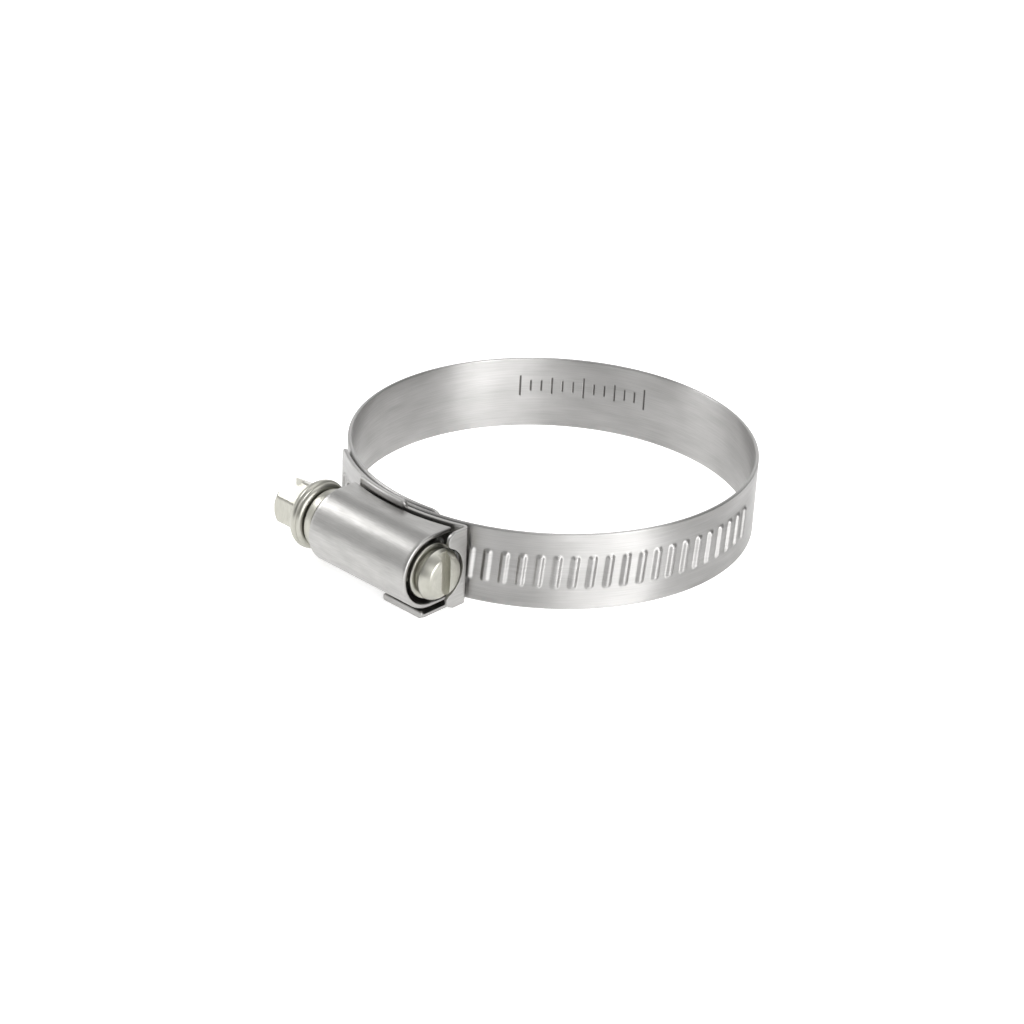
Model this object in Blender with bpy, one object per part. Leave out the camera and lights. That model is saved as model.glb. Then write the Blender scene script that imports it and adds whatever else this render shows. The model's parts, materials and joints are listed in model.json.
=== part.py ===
"""Worm-drive hose clamp with a 12 mm band, lying on its edge.

Frame: +Z runs along the ring's axis, Z = 0 is where the lower flange stands, the housing is on the
-Y side and the screw runs along X with its hexagonal head towards -X. The shapes are worked out
round the ring's own axis and moved to the frame at the end.

The band is one flexible strip. It is built as a fixed end and a row of short curved links. As the
screw draws the band up, each link turns about its own upright line, which carries it from its place
in the open ring to its place in the closed one, and each link has its origin on that line.
"""
import math

import bmesh
import bpy
import numpy as np
from mathutils import Vector

MM = 0.001

# ring's axis at the band's lower edge, in the part's frame
RING_CENTRE = (0.0, 4.9, 0.95)

# band: strip section and the spiral that it is coiled on
BAND_WIDTH = 12.0
BAND_THICKNESS = 0.65
RING_INNER_RADIUS = 30.3
RISE_PER_TURN = 0.95
LINK_COUNT = 26
LINK_ANGLE = 15.0
LINK_GAP = 0.30
FIXED_END_REACH = 6.2
CORNER_RADIUS = 1.8
LINK_COLUMNS = 4

# ring drawn up by the screw: its inner radius and spiral, on which the links lie end to end
CLOSED_RADIUS = 27.142
CLOSED_RISE_PER_TURN = 1.0

# raised threads across the free half of the band
THREAD_PITCH = 2.5
RIDGE_HEIGHT = 0.25
RIDGE_WIDTH = 1.35
RIDGE_FLANK = 0.30
RIDGE_LENGTH = 5.4
FIRST_RIDGE = -0.6
RIDGES_RIGHT = 25
RIDGES_LEFT = 7

# screw, all along X at one height and one distance from the ring's axis
SCREW_Y = -35.5
SCREW_Z = BAND_WIDTH / 2
HEAD_END = -19.4
HEAD_ROOT = -14.7
HEAD_ACROSS_FLATS = 7.0
HEAD_SLOT_WIDTH = 1.6
HEAD_SLOT_DEPTH = 2.4
COLLAR_RADIUS = 5.35
COLLAR_CENTRE = -13.4
COLLAR_HALF = 1.2
NECK_RADIUS = 4.65
NECK_FROM = -11.85
NECK_STEP = -10.3
NECK_STEP_RADIUS = 4.3
NECK_TO = -9.0
WORM_CREST = 3.0
WORM_ROOT = 2.4
WORM_FROM = -8.5
WORM_TO = 9.0
STOP_RING_RADIUS = 4.2
JOURNAL_RADIUS = 3.75
TIP_END = 12.9
TIP_FACE_RADIUS = 3.15
TIP_SLOT_WIDTH = 1.25
TIP_SLOT_DEPTH = 1.2
AROUND = 24

# barrel: a tunnel of rolled sheet with two straight legs
BARREL_RADIUS = 5.75
BARREL_SHEET = 0.75
BARREL_FROM = -9.5
BARREL_TO = 10.1
BARREL_FOOT_RADIUS = 33.15
BARREL_STATIONS = 17
BARREL_ARC_STEPS = 20

# saddle: curved sheet round the outside of the band, with an end wall
SADDLE_INNER = 32.25
SADDLE_SHEET = 0.6
SADDLE_RAIL = 2.2
SADDLE_FROM = -8.9
CROSS_BAR_FROM = -8.5
CROSS_BAR_TO = -7.1
TOP_LIP_TO = 1.7
BOTTOM_LIP_FROM = 1.4
BOTTOM_LIP_TO = 11.0
LIP_RISE = 0.85
FLANGE_FROM = 2.4
FLANGE_TO = 11.0
FLANGE_EDGE = -37.7
FLANGE_LOW = -0.95
FLANGE_HIGH = -0.12
FLANGE_CORNER = 0.6
WALL_FROM = 11.5
WALL_SHEET = 0.8
WALL_HORN = -34.4
WALL_NOTCH_RADIUS = 4.1
HORN_CORNER = 1.1

STAINLESS = ("brushed stainless steel", (0.62, 0.62, 0.64, 1.0), 0.34)
ZINC = ("yellowish zinc-plated steel", (0.70, 0.67, 0.58, 1.0), 0.38)


def clear_scene():
    """Remove whatever objects the scene holds."""
    for item in list(bpy.data.objects):
        bpy.data.objects.remove(item, do_unlink=True)


def material(kind):
    """One metal, given as its name, colour and roughness."""
    name, colour, roughness = kind
    found = bpy.data.materials.get(name)
    if found:
        return found
    made = bpy.data.materials.new(name)
    made.use_nodes = True
    shader = made.node_tree.nodes["Principled BSDF"]
    shader.inputs["Base Color"].default_value = colour
    shader.inputs["Roughness"].default_value = roughness
    shader.inputs["Metallic"].default_value = 1.0
    made.diffuse_color = colour
    return made


def add_object(name, points, faces, kind, origin=(0.0, 0.0, 0.0)):
    """A closed body from points in mm and faces, with its origin at the given point in mm."""
    mesh = bpy.data.meshes.new(name)
    local = (np.asarray(points, float) - np.asarray(origin, float)) * MM
    mesh.from_pydata(local.tolist(), [], [list(face) for face in faces])
    shape = bmesh.new()
    shape.from_mesh(mesh)
    bmesh.ops.recalc_face_normals(shape, faces=shape.faces)
    shape.to_mesh(mesh)
    shape.free()
    mesh.materials.append(material(kind))
    made = bpy.data.objects.new(name, mesh)
    made.location = Vector(origin) * MM
    bpy.context.scene.collection.objects.link(made)
    finish(made)
    return made


def finish(item):
    """Smooth shading that keeps the sharp edges."""
    item.data.polygons.foreach_set("use_smooth", [True] * len(item.data.polygons))
    item.data.set_sharp_from_angle(angle=math.radians(35.0))


def spiral_radius(turn):
    """Inner radius of the coiled band; turn is the angle in radians from the housing's middle."""
    return RING_INNER_RADIUS + RISE_PER_TURN * turn / (2 * math.pi)


def spiral_point(turn, outward, height):
    """Point at a turn, a distance outward from the inner face, and a height, in mm."""
    radius = spiral_radius(turn) + outward
    return (-radius * math.sin(turn), -radius * math.cos(turn), height)


def ridge_places():
    """Turn angle of each raised thread's middle, measured along the band's middle."""
    mean_radius = spiral_radius(2 * math.pi) + BAND_THICKNESS / 2
    numbers = range(-RIDGES_LEFT, RIDGES_RIGHT)
    lengths = [FIRST_RIDGE + THREAD_PITCH * number for number in numbers]
    return [2 * math.pi - length / mean_radius for length in lengths]


def ridge_profile(turn, places):
    """Share of the full ridge height at a turn: 0 on the flat, 1 on a ridge's top."""
    mean_radius = spiral_radius(2 * math.pi) + BAND_THICKNESS / 2
    nearest = min(abs(turn - place) for place in places) * mean_radius
    share = (RIDGE_WIDTH / 2 - nearest) / RIDGE_FLANK
    return min(1.0, max(0.0, share))


def link_columns(start, stop, places):
    """Turn angles across one link: its ends, an even spread and every ridge's four edges."""
    mean_radius = spiral_radius(2 * math.pi) + BAND_THICKNESS / 2
    even = np.linspace(start, stop, LINK_COLUMNS)
    marks = set(even.tolist())
    half = RIDGE_WIDTH / 2
    for place in places:
        for side in (-half, -half + RIDGE_FLANK, half - RIDGE_FLANK, half):
            mark = place + side / mean_radius
            if start + 0.004 < mark < stop - 0.004:
                marks.add(mark)
    ordered = sorted(marks)
    kept = [ordered[0]]
    for mark in ordered[1:-1]:
        if mark - kept[-1] > 0.004:
            kept.append(mark)
    kept.append(ordered[-1])
    return kept


def corner_trim(distance):
    """How far a rounded corner cuts into the width at a distance from the strip's end."""
    if distance >= CORNER_RADIUS:
        return 0.0
    rest = CORNER_RADIUS - distance
    return CORNER_RADIUS - math.sqrt(CORNER_RADIUS ** 2 - rest ** 2)


def strip(name, columns, places, trims, origin):
    """A curved piece of band: a grid of heights outside, a plain face inside, walls all round.

    columns are turn angles, places the ridges, and trims how much each column's two ends are cut.
    origin is where the object's own origin stands.
    """
    foot = (BAND_WIDTH - RIDGE_LENGTH) / 2
    rows = [None, foot, foot + 0.45, BAND_WIDTH - foot - 0.45, BAND_WIDTH - foot, None]
    points = []
    for turn, trim in zip(columns, trims):
        share = ridge_profile(turn, places) if places else 0.0
        for number, row in enumerate(rows):
            if row is None:
                row = trim if number == 0 else BAND_WIDTH - trim
            raised = RIDGE_HEIGHT * share if number in (2, 3) else 0.0
            points.append(spiral_point(turn, BAND_THICKNESS + raised, row))
        points.append(spiral_point(turn, 0.0, BAND_WIDTH - trim))
        points.append(spiral_point(turn, 0.0, trim))
    loop = len(rows) + 2
    faces = []
    for column in range(len(columns) - 1):
        for corner in range(loop):
            after = (corner + 1) % loop
            here = column * loop
            there = here + loop
            faces.append((here + corner, here + after, there + after, there + corner))
    last = (len(columns) - 1) * loop
    faces.append(tuple(range(loop)))
    faces.append(tuple(last + corner for corner in range(loop)))
    return add_object(name, points, faces, STAINLESS, origin)


def joint_turns(radius, rise, chords):
    """Turn angles on a spiral whose neighbours are the given chords apart, from the screw's middle."""
    turns = [-chords[0] / 2 / radius]

    def place(turn):
        here = radius + rise * turn / (2 * math.pi)
        return Vector((-here * math.sin(turn), -here * math.cos(turn)))

    for chord in chords:
        low = turns[-1]
        high = low + 1.0
        for _ in range(50):
            middle = (low + high) / 2
            if (place(middle) - place(turns[-1])).length < chord:
                low = middle
            else:
                high = middle
        turns.append(low)
    return [place(turn) for turn in turns]


def hinge_lines():
    """Where each link's upright hinge line stands.

    A link that ends up turned by the angle a, with its first edge carried from p to q, has turned
    about the point h for which q - h is p - h turned by a. The angles are the closed chain's bends
    less the open chain's, added up from the fixed end.
    """
    step = math.radians(LINK_ANGLE)
    edges = []
    for number in range(LINK_COUNT + 2):
        turn = (number - 0.5) * step
        x, y, z = spiral_point(turn, 0.0, 0.0)
        edges.append(Vector((x, y)))
    chords = [(after - here).length for here, after in zip(edges, edges[1:])]
    closed = joint_turns(CLOSED_RADIUS, CLOSED_RISE_PER_TURN, chords)
    hinges = []
    moved = edges[1].copy()
    first = (closed[1] - closed[0]).angle_signed(edges[1] - edges[0])
    for number in range(LINK_COUNT):
        here = edges[number + 2] - edges[number + 1]
        there = closed[number + 2] - closed[number + 1]
        angle = there.angle_signed(here) - first
        rest = edges[number + 1]
        cosine = math.cos(angle)
        sine = math.sin(angle)
        # solve (1 - turn) h = q - turn p for the 2 x 2 turn by the angle
        right = Vector((moved.x - cosine * rest.x + sine * rest.y,
                        moved.y - sine * rest.x - cosine * rest.y))
        size = 2 * (1 - cosine)
        x = ((1 - cosine) * right.x - sine * right.y) / size
        y = (sine * right.x + (1 - cosine) * right.y) / size
        hinges.append((x, y, 0.0))
        moved += Vector((cosine * here.x - sine * here.y, sine * here.x + cosine * here.y))
    return hinges


def build_band():
    """The fixed end under the screw and the chain of links that makes the ring."""
    first = math.radians(LINK_ANGLE / 2)
    step = math.radians(LINK_ANGLE)
    places = ridge_places()
    half_gap = LINK_GAP / 2 / RING_INNER_RADIUS
    start = -math.asin(FIXED_END_REACH / RING_INNER_RADIUS)
    stop = first - half_gap
    distances = [0.0, 0.08, 0.3, 0.7, 1.2, CORNER_RADIUS]
    columns = [start + distance / RING_INNER_RADIUS for distance in distances]
    columns += list(np.linspace(columns[-1], stop, 5)[1:])
    trims = [corner_trim((turn - start) * RING_INNER_RADIUS) for turn in columns]
    strip("band_fixed_end", columns, [], trims, spiral_point(columns[0], 0.0, 0.0))
    hinges = hinge_lines()
    threaded_from = min(places) - RIDGE_WIDTH / RING_INNER_RADIUS
    for number in range(LINK_COUNT):
        start = first + number * step + half_gap
        stop = first + (number + 1) * step - half_gap
        mine = [place for place in places if start - 0.05 < place < stop + 0.05]
        if stop < threaded_from:
            mine = []
        columns = link_columns(start, stop, mine)
        trims = [0.0] * len(columns)
        if number == LINK_COUNT - 1:
            ends = [stop - distance / spiral_radius(stop) for distance in reversed(distances)]
            columns = [turn for turn in columns if turn < ends[0] - 0.004] + ends
            trims = [corner_trim((stop - turn) * spiral_radius(stop)) for turn in columns]
        strip(f"band_link_{number + 1:02d}", columns, mine, trims, hinges[number])


def hexagon_radius(angle):
    """Distance from the centre to the side of the hexagonal head; corners point up and down."""
    sixth = math.pi / 3
    within = (angle + 1e-9) % sixth - sixth / 2
    return HEAD_ACROSS_FLATS / 2 / math.cos(within)


def screw_radius(station, angle):
    """Radius of the screw's surface at a place along X and an angle about its axis."""
    if station < HEAD_ROOT - 0.01:
        chamfer = HEAD_ACROSS_FLATS / 2 + 0.15 + (station - HEAD_END) * 1.7
        return min(hexagon_radius(angle), chamfer)
    if abs(station - COLLAR_CENTRE) <= COLLAR_HALF + 0.01:
        across = min(1.0, abs(station - COLLAR_CENTRE) / COLLAR_HALF)
        return COLLAR_RADIUS - 0.85 * (1.0 - math.sqrt(1.0 - across ** 2 * 0.96))
    return None


def build_screw():
    """Head, collar, neck, worm, stop ring and slotted tip, turned from one piece of steel."""
    angles = [2 * math.pi * number / AROUND for number in range(AROUND)]
    sections = []

    def plain(station, radius):
        """One round section."""
        sections.append((station, [radius] * AROUND))

    def shaped(station):
        """One section of the head or the collar."""
        sections.append((station, [screw_radius(station, angle) for angle in angles]))

    for station in (HEAD_END, HEAD_END + 0.25, HEAD_END + 0.5, HEAD_ROOT - 0.02):
        shaped(station)
    left = COLLAR_CENTRE - COLLAR_HALF
    for number in range(9):
        shaped(left + 2 * COLLAR_HALF * number / 8)
    plain(COLLAR_CENTRE + COLLAR_HALF + 0.02, 3.6)
    plain(NECK_FROM - 0.15, 3.6)
    plain(NECK_FROM, NECK_RADIUS - 0.15)
    plain(NECK_FROM + 0.15, NECK_RADIUS)
    plain(NECK_STEP - 0.1, NECK_RADIUS)
    plain(NECK_STEP, NECK_STEP_RADIUS)
    plain(NECK_TO - 0.1, NECK_STEP_RADIUS)
    plain(NECK_TO, WORM_ROOT)
    turns = (WORM_TO - WORM_FROM) / THREAD_PITCH
    steps = int(round(turns * 8))
    plain(WORM_FROM - 0.25, WORM_ROOT)
    for number in range(steps + 1):
        station = WORM_FROM + (WORM_TO - WORM_FROM) * number / steps
        fade = min(1.0, min(number, steps - number) / 6.0)
        radii = []
        for angle in angles:
            phase = (station / THREAD_PITCH + angle / (2 * math.pi)) % 1.0
            share = min(1.0, max(0.0, (0.30 - abs(phase - 0.5)) / 0.14))
            radii.append(WORM_ROOT + (WORM_CREST - WORM_ROOT) * share * fade)
        sections.append((station, radii))
    plain(WORM_TO + 0.25, WORM_ROOT)
    plain(WORM_TO + 0.3, STOP_RING_RADIUS - 0.2)
    plain(WORM_TO + 0.5, STOP_RING_RADIUS)
    plain(WORM_TO + 0.95, STOP_RING_RADIUS)
    plain(WORM_TO + 1.15, STOP_RING_RADIUS - 0.2)
    plain(WORM_TO + 1.2, 3.4)
    plain(WORM_TO + 1.6, 3.4)
    plain(WORM_TO + 1.65, JOURNAL_RADIUS - 0.1)
    plain(WORM_TO + 1.8, JOURNAL_RADIUS)
    plain(TIP_END - 0.75, JOURNAL_RADIUS)
    plain(TIP_END - 0.35, (JOURNAL_RADIUS + TIP_FACE_RADIUS) / 2 + 0.12)
    plain(TIP_END, TIP_FACE_RADIUS)
    points = []
    for station, radii in sections:
        for angle, radius in zip(angles, radii):
            y = SCREW_Y + radius * math.sin(angle)
            z = SCREW_Z + radius * math.cos(angle)
            points.append((station, y, z))
    faces = [tuple(range(AROUND))]
    for section in range(len(sections) - 1):
        for number in range(AROUND):
            after = (number + 1) % AROUND
            here = section * AROUND
            there = here + AROUND
            faces.append((here + number, here + after, there + after, there + number))
    last = (len(sections) - 1) * AROUND
    faces.append(tuple(last + number for number in range(AROUND)))
    axis = (0.0, SCREW_Y, SCREW_Z)
    screw = add_object("worm_screw", points, faces, ZINC, axis)
    cut_box(screw, "head_slot_cutter", HEAD_END - 1.0, HEAD_END + HEAD_SLOT_DEPTH, HEAD_SLOT_WIDTH)
    cut_box(screw, "tip_slot_cutter", TIP_END - TIP_SLOT_DEPTH, TIP_END + 1.0, TIP_SLOT_WIDTH)
    finish(screw)


def box_points(low, high):
    """The eight corners of a box and its six faces."""
    corners = [(x, y, z) for x in (low[0], high[0]) for y in (low[1], high[1]) for z in (low[2], high[2])]
    faces = [(0, 1, 3, 2), (4, 6, 7, 5), (0, 4, 5, 1), (2, 3, 7, 6), (0, 2, 6, 4), (1, 5, 7, 3)]
    return corners, faces


def cut_box(target, name, from_x, to_x, width):
    """A slot right across the screw, standing along Z, cut by a hidden box."""
    low = (from_x, SCREW_Y - width / 2, SCREW_Z - 8.0)
    high = (to_x, SCREW_Y + width / 2, SCREW_Z + 8.0)
    points, faces = box_points(low, high)
    cutter = add_object(name, points, faces, ZINC)
    cutter.hide_render = True
    cutter.display_type = "WIRE"
    change = target.modifiers.new(name, "BOOLEAN")
    change.operation = "DIFFERENCE"
    change.solver = "EXACT"
    change.object = cutter


def curve_y(radius, x):
    """Y of the circle of the given radius about the ring's axis, on the housing's side."""
    return -math.sqrt(radius ** 2 - x ** 2)


def build_barrel():
    """The tunnel over the screw: half a tube with legs that follow the band's curve."""
    stations = np.linspace(BARREL_FROM, BARREL_TO, BARREL_STATIONS)
    inner = BARREL_RADIUS - BARREL_SHEET
    sweep = [math.pi * number / BARREL_ARC_STEPS for number in range(BARREL_ARC_STEPS + 1)]
    points = []
    loop = None
    for x in stations:
        foot = curve_y(BARREL_FOOT_RADIUS, x)
        ring = [(foot, SCREW_Z + BARREL_RADIUS)]
        for angle in sweep:
            y = SCREW_Y - BARREL_RADIUS * math.sin(angle)
            ring.append((y, SCREW_Z + BARREL_RADIUS * math.cos(angle)))
        ring.append((foot, SCREW_Z - BARREL_RADIUS))
        ring.append((foot, SCREW_Z - inner))
        for angle in reversed(sweep):
            y = SCREW_Y - inner * math.sin(angle)
            ring.append((y, SCREW_Z + inner * math.cos(angle)))
        ring.append((foot, SCREW_Z + inner))
        loop = len(ring)
        points += [(x, y, z) for y, z in ring]
    faces = []
    for station in range(len(stations) - 1):
        for corner in range(loop):
            after = (corner + 1) % loop
            here = station * loop
            there = here + loop
            faces.append((here + corner, here + after, there + after, there + corner))
    half = loop // 2
    for base in (0, (len(stations) - 1) * loop):
        for corner in range(half - 1):
            faces.append((base + corner, base + corner + 1, base + loop - 2 - corner, base + loop - 1 - corner))
    add_object("barrel_housing", points, faces, STAINLESS)


def sheet_patch(name, from_x, to_x, low, high, steps):
    """A curved patch of saddle sheet; low and high give its edge heights at each X."""
    points = []
    for x in steps:
        for radius, height in ((0, low), (1, low), (1, high), (0, high)):
            y = curve_y(SADDLE_INNER + SADDLE_SHEET * radius, x)
            points.append((x, y, height(x)))
    faces = [(0, 1, 2, 3)]
    for station in range(len(steps) - 1):
        for corner in range(4):
            after = (corner + 1) % 4
            here = station * 4
            faces.append((here + corner, here + after, here + 4 + after, here + 4 + corner))
    last = (len(steps) - 1) * 4
    faces.append((last, last + 1, last + 2, last + 3))
    return add_object(name, points, faces, STAINLESS)


def lip(x, start, stop, flat, raised):
    """Height of a lip's edge at X: raised between start and stop, with rounded ends."""
    radius = abs(raised - flat)
    inside = min(x - start, stop - x)
    if inside <= 0:
        return flat
    if inside >= radius:
        return raised
    share = math.sqrt(max(0.0, radius ** 2 - (radius - inside) ** 2)) / radius
    return flat + (raised - flat) * share


def lip_stations(start, stop, radius, low, high):
    """X stations that follow a lip's rounded ends."""
    marks = {low, high}
    marks.update(np.linspace(low, high, 12).tolist())
    for number in range(6):
        turn = math.pi / 2 * number / 5
        inside = radius * (1.0 - math.cos(turn))
        marks.update((start + inside, stop - inside))
    ordered = sorted(mark for mark in marks if low <= mark <= high)
    kept = [ordered[0]]
    for mark in ordered[1:]:
        if mark - kept[-1] > 0.03:
            kept.append(mark)
    kept[-1] = high
    return kept


def build_saddle():
    """Curved sheet: two rails, a lip on each edge, a flange turned outwards and a notched wall."""
    end = WALL_FROM + WALL_SHEET
    top = BAND_WIDTH + 0.05
    bottom = -0.05
    steps = lip_stations(SADDLE_FROM, TOP_LIP_TO, LIP_RISE, SADDLE_FROM, end)
    saddle = sheet_patch(
        "saddle_bridge", SADDLE_FROM, end,
        lambda x: BAND_WIDTH - SADDLE_RAIL,
        lambda x: lip(x, SADDLE_FROM - 0.05, TOP_LIP_TO, top, top + LIP_RISE), steps)
    steps = lip_stations(BOTTOM_LIP_FROM, BOTTOM_LIP_TO, LIP_RISE, SADDLE_FROM, end)
    rail = sheet_patch(
        "bottom_rail_union", SADDLE_FROM, end,
        lambda x: lip(x, BOTTOM_LIP_FROM, BOTTOM_LIP_TO, bottom, bottom - LIP_RISE),
        lambda x: SADDLE_RAIL, steps)
    cross = sheet_patch(
        "cross_bar_union", CROSS_BAR_FROM, CROSS_BAR_TO,
        lambda x: SADDLE_RAIL - 0.3,
        lambda x: BAND_WIDTH - SADDLE_RAIL + 0.3,
        [CROSS_BAR_FROM, (CROSS_BAR_FROM + CROSS_BAR_TO) / 2, CROSS_BAR_TO])
    near = [(WALL_FROM, y, z) for y, z in wall_outline()]
    far = [(end + 0.002, y, z) for x, y, z in near]
    wall = slab("end_wall_union", near, far)
    under = [(x, y, FLANGE_LOW) for x, y in flange_outline()]
    over = [(x, y, FLANGE_HIGH) for x, y, z in under]
    flange = slab("lower_flange_union", under, over)
    for piece in (rail, cross, wall, flange):
        piece.hide_render = True
        piece.display_type = "WIRE"
        change = saddle.modifiers.new(piece.name, "BOOLEAN")
        change.operation = "UNION"
        change.solver = "EXACT"
        change.object = piece
    finish(saddle)


def slab(name, near, far):
    """A flat piece of sheet between two copies of one outline."""
    count = len(near)
    faces = [tuple(range(count)), tuple(range(count, 2 * count))]
    for number in range(count):
        after = (number + 1) % count
        faces.append((number, after, count + after, count + number))
    return add_object(name, near + far, faces, STAINLESS)


def flange_outline():
    """Outline of the lower flange in X and Y: curved along the saddle, straight outside."""
    root = SADDLE_INNER + SADDLE_SHEET / 2
    outline = []
    for x in np.linspace(FLANGE_FROM, FLANGE_TO, 9):
        outline.append((float(x), curve_y(root, float(x))))
    for centre_x, start in ((FLANGE_TO - FLANGE_CORNER, 0), (FLANGE_FROM + FLANGE_CORNER, 90)):
        for number in range(5):
            angle = math.radians(start + 90 * number / 4)
            x = centre_x + FLANGE_CORNER * math.cos(angle)
            outline.append((x, FLANGE_EDGE + FLANGE_CORNER * (1.0 - math.sin(angle))))
    return outline


def wall_outline():
    """Outline of the end wall in Y and Z: two rounded horns with a round notch between them."""
    top = BAND_WIDTH + 0.04
    bottom = -0.04
    root = curve_y(SADDLE_INNER, WALL_FROM) - 0.03
    outline = [(root, bottom)]

    def corner(centre_y, centre_z, radius, start, stop):
        """A rounded corner from one angle to another, in degrees; 0 points to +Z, 90 to -Y."""
        for number in range(6):
            angle = math.radians(start + (stop - start) * number / 5)
            outline.append((centre_y - radius * math.sin(angle), centre_z + radius * math.cos(angle)))

    corner(WALL_HORN + HORN_CORNER, bottom + HORN_CORNER, HORN_CORNER, 180, 90)
    reach = WALL_HORN - SCREW_Y
    half = math.sqrt(WALL_NOTCH_RADIUS ** 2 - reach ** 2)
    start = math.atan2(-half, reach)
    for number in range(15):
        angle = start - 2 * start * number / 14
        y = SCREW_Y + WALL_NOTCH_RADIUS * math.cos(angle)
        outline.append((y, SCREW_Z + WALL_NOTCH_RADIUS * math.sin(angle)))
    corner(WALL_HORN + HORN_CORNER, top - HORN_CORNER, HORN_CORNER, 90, 0)
    outline.append((root, top))
    return outline


def move_to_frame():
    """Shift every object so that the lower flange stands on Z = 0 and the outline is centred."""
    for item in bpy.data.objects:
        item.location = item.location + Vector(RING_CENTRE) * MM


clear_scene()
build_band()
build_barrel()
build_saddle()
build_screw()
move_to_frame()
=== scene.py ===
# %% [markdown]
# # A worm-drive hose clamp, from strip steel and one turned screw
#
# A hose clamp is a thin steel band coiled round a hose, with a screw that draws its threaded end
# through a small housing. The frame holds its joints and rough solids; this script builds what the
# eye sees: the brushed band with its pressed threads, the rolled barrel, the folded saddle and the
# zinc-plated screw. Lengths are in millimetres and turned into metres when a mesh is made.

# %% Load the frame
import json
import math

import bpy
import numpy as np
from mathutils import Matrix, Vector


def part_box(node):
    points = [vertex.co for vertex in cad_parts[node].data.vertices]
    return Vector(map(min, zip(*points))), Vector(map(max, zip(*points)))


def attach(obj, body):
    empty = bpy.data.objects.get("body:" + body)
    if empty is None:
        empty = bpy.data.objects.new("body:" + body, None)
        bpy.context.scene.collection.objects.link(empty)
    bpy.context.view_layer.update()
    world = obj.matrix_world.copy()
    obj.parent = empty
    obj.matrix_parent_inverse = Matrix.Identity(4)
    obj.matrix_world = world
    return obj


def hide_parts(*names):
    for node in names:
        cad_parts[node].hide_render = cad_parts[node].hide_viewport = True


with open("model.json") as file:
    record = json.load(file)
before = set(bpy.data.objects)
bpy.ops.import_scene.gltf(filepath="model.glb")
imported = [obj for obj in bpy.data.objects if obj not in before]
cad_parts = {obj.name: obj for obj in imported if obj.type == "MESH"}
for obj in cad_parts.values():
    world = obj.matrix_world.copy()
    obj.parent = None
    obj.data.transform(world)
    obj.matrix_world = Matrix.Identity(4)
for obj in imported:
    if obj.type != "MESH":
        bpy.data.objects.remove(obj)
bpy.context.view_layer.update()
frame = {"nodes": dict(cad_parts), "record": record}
MM = 0.001

# %% [markdown]
# ## Where things are
#
# Everything is placed from the frame's own boxes, so the looks stay on the joints. The band is an
# Archimedean spiral: its inner face stands at r(t) = R + rise * t / 2 pi from the ring's axis, and
# the turn t grows clockwise seen from above, from 0 under the screw.

# %% Measures read from the frame


def box_mm(node):
    """Lowest and highest corner of one CAD node, in millimetres."""
    low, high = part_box(node)
    return np.array(low) / MM, np.array(high) / MM


SOLID_SHEET = 0.65
BAND_SHEET = 0.58
INNER_RADIUS = 30.3
RISE = 0.95
LINK = math.radians(15.0)
fixed_low, fixed_high = box_mm("band_fixed_end")
barrel_low, barrel_high = box_mm("barrel_housing")
saddle_low, saddle_high = box_mm("saddle_bridge")
screw_low, screw_high = box_mm("worm_screw")
BAND_WIDTH = fixed_high[2] - fixed_low[2]
CENTRE = np.array([0.0, fixed_low[1] + INNER_RADIUS + SOLID_SHEET, fixed_low[2]])
screw_joint = next(j for j in frame["record"]["behaviour"]["joints"] if j["name"] == "screw_turn")
SCREW_Y = screw_joint["pos_m"][1] / MM - CENTRE[1]
SCREW_Z = screw_joint["pos_m"][2] / MM - CENTRE[2]
link_names = sorted(name for name in frame["nodes"] if name.startswith("band_link_"))
print("band", round(BAND_WIDTH, 2), "mm wide,", len(link_names), "links, axis at", CENTRE.round(2))


def spiral(turn, off=0.0):
    """X and Y on the spiral: -(r + off) (sin t, cos t), with r = R + rise t / 2 pi."""
    radius = INNER_RADIUS + RISE * turn / (2 * math.pi) + off
    return -radius * np.sin(turn), -radius * np.cos(turn)


# %% [markdown]
# ## Making a mesh from a grid of points
#
# Sheet metal is a surface that two numbers find their way round: one along the strip and one round
# its section. Each piece below is such a grid, worked out for all its points at once. The grid is
# closed round the section and capped at its two ends, so it is a solid with a real thickness.

# %% Grid to mesh


def ring_faces(columns, loop):
    """Quads between neighbouring closed loops, as rows of four point numbers."""
    start = np.arange(columns - 1)[:, None] * loop
    here = np.arange(loop)[None, :]
    after = (here + 1) % loop
    quads = (start + here, start + after, start + loop + after, start + loop + here)
    return np.stack(quads, -1).reshape(-1, 4)


SHARP = math.radians(35)


def make_object(name, points, faces, material, uv=None, marks=None):
    """A mesh object from points in mm about the ring's axis; faces may be quads and longer loops.

    Edges that turn by more than SHARP keep a crisp line in the shading. uv is the strip map in mm.
    """
    mesh = bpy.data.meshes.new(name)
    flat = (np.asarray(points, float).reshape(-1, 3) + CENTRE) * MM
    mesh.from_pydata(flat.tolist(), [], [list(map(int, face)) for face in faces])
    mesh.validate()
    corners = np.zeros(len(mesh.loops), int)
    mesh.loops.foreach_get("vertex_index", corners)
    if uv is not None:
        layer = mesh.uv_layers.new(name="strip")
        layer.data.foreach_set("uv", (np.asarray(uv, float)[corners] * MM).ravel())
    if marks is not None:
        layer = mesh.attributes.new("etched", "FLOAT", "POINT")
        layer.data.foreach_set("value", np.asarray(marks, np.float32).ravel())
    made = bpy.data.objects.new(name, mesh)
    bpy.context.scene.collection.objects.link(made)
    mesh.shade_smooth()
    mesh.set_sharp_from_angle(angle=SHARP)
    mesh.materials.append(material)
    return made


def capped(columns, loop):
    """Faces of a closed tube of loops, with one flat cap at each end."""
    quads = ring_faces(columns, loop)
    first = np.arange(loop)[::-1]
    last = (columns - 1) * loop + np.arange(loop)
    return [*quads, first, last]


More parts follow.
